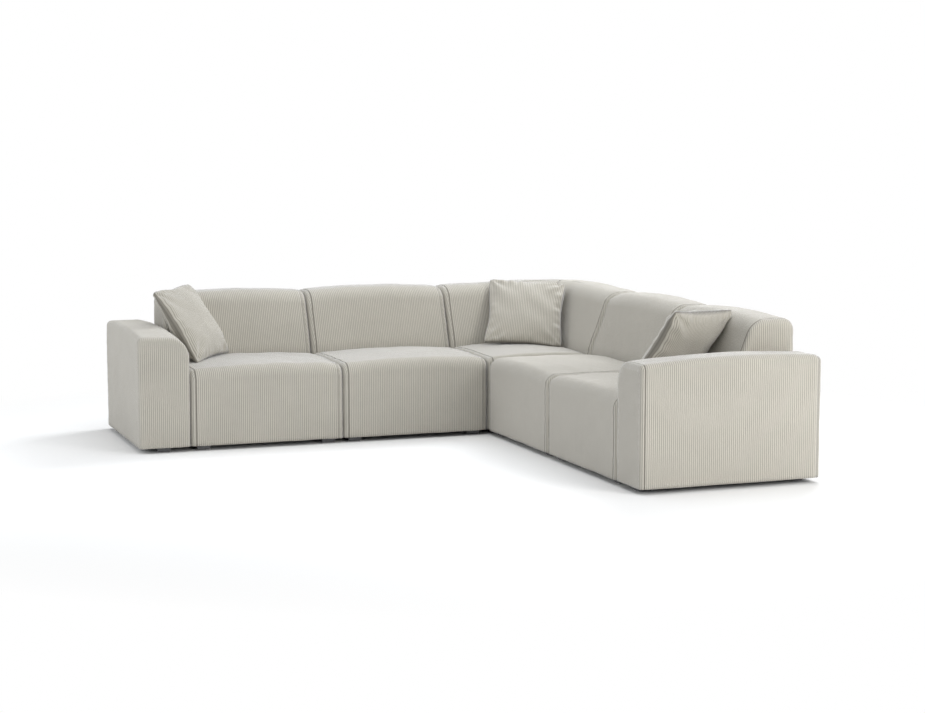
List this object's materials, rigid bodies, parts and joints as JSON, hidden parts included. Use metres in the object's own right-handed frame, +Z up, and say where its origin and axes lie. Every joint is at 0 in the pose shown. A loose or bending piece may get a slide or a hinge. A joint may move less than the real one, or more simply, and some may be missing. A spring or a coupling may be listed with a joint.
{
  "type": "corner sofa",
  "caption": "Symmetrical L-shaped corner sofa in ribbed corduroy, with low block arms, rolled backs and loose scatter cushions.",
  "frame": {"origin": "on the floor, at the centre of the sofa's square footprint", "axes": "+Z up; the left run lies along X with its back to +Y; the right run lies along Y with its back to +X; the open inner corner looks to -X and -Y"},
  "size_m": [2.88, 2.88, 0.8155],
  "materials": {
    "corduroy": "matte",
    "foam": "matte",
    "filling": "matte",
    "webbing": "matte",
    "base_cloth": "matte",
    "timber": "satin",
    "plywood": "satin",
    "feet": "matte",
    "steel": "satin"
  },
  "bodies": {
    "sofa": {"left_end_seat_cover": "corduroy", "left_end_seat_foam": "foam", "left_end_seat_webbing": "webbing", "left_end_base_frame": "timber", "left_end_back_cover": "corduroy", "left_end_back_foam": "foam", "left_end_back_frame": "plywood", "left_middle_seat_cover": "corduroy", "left_middle_seat_foam": "foam", "left_middle_seat_webbing": "webbing", "left_middle_base_frame": "timber", "left_middle_back_cover": "corduroy", "left_middle_back_foam": "foam", "left_middle_back_frame": "plywood", "corner_seat_cover": "corduroy", "corner_seat_foam": "foam", "corner_seat_webbing": "webbing", "corner_base_frame": "timber", "corner_back_cover": "corduroy", "corner_back_foam": "foam", "corner_back_frame": "plywood", "right_middle_seat_cover": "corduroy", "right_middle_seat_foam": "foam", "right_middle_seat_webbing": "webbing", "right_middle_base_frame": "timber", "right_middle_back_cover": "corduroy", "right_middle_back_foam": "foam", "right_middle_back_frame": "plywood", "right_end_seat_cover": "corduroy", "right_end_seat_foam": "foam", "right_end_seat_webbing": "webbing", "right_end_base_frame": "timber", "right_end_back_cover": "corduroy", "right_end_back_foam": "foam", "right_end_back_frame": "plywood", "left_run_back_webbing": "webbing", "left_run_base_cloth": "base_cloth", "left_run_feet": "feet", "corner_back_webbing": "webbing", "corner_base_cloth": "base_cloth", "corner_feet": "feet", "right_run_back_webbing": "webbing", "right_run_base_cloth": "base_cloth", "right_run_feet": "feet", "left_arm_cover": "corduroy", "left_arm_foam": "foam", "left_arm_frame": "plywood", "right_arm_cover": "corduroy", "right_arm_foam": "foam", "right_arm_frame": "plywood", "joining_hooks": "steel", "joining_sockets": "steel"},
    "left_cushion": {"left_cushion_cover": "corduroy", "left_cushion_filling": "filling"},
    "corner_cushion": {"corner_cushion_cover": "corduroy", "corner_cushion_filling": "filling"},
    "right_cushion": {"right_cushion_cover": "corduroy", "right_cushion_filling": "filling"}
  },
  "joints": [
    {"name": "left_cushion_lift", "type": "slide", "parent": "sofa", "child": "left_cushion", "axis": [0, 0, 1], "range_m": [0, 0.35]},
    {"name": "corner_cushion_lift", "type": "slide", "parent": "sofa", "child": "corner_cushion", "axis": [0, 0, 1], "range_m": [0, 0.35]},
    {"name": "right_cushion_lift", "type": "slide", "parent": "sofa", "child": "right_cushion", "axis": [0, 0, 1], "range_m": [0, 0.35]}
  ]
}
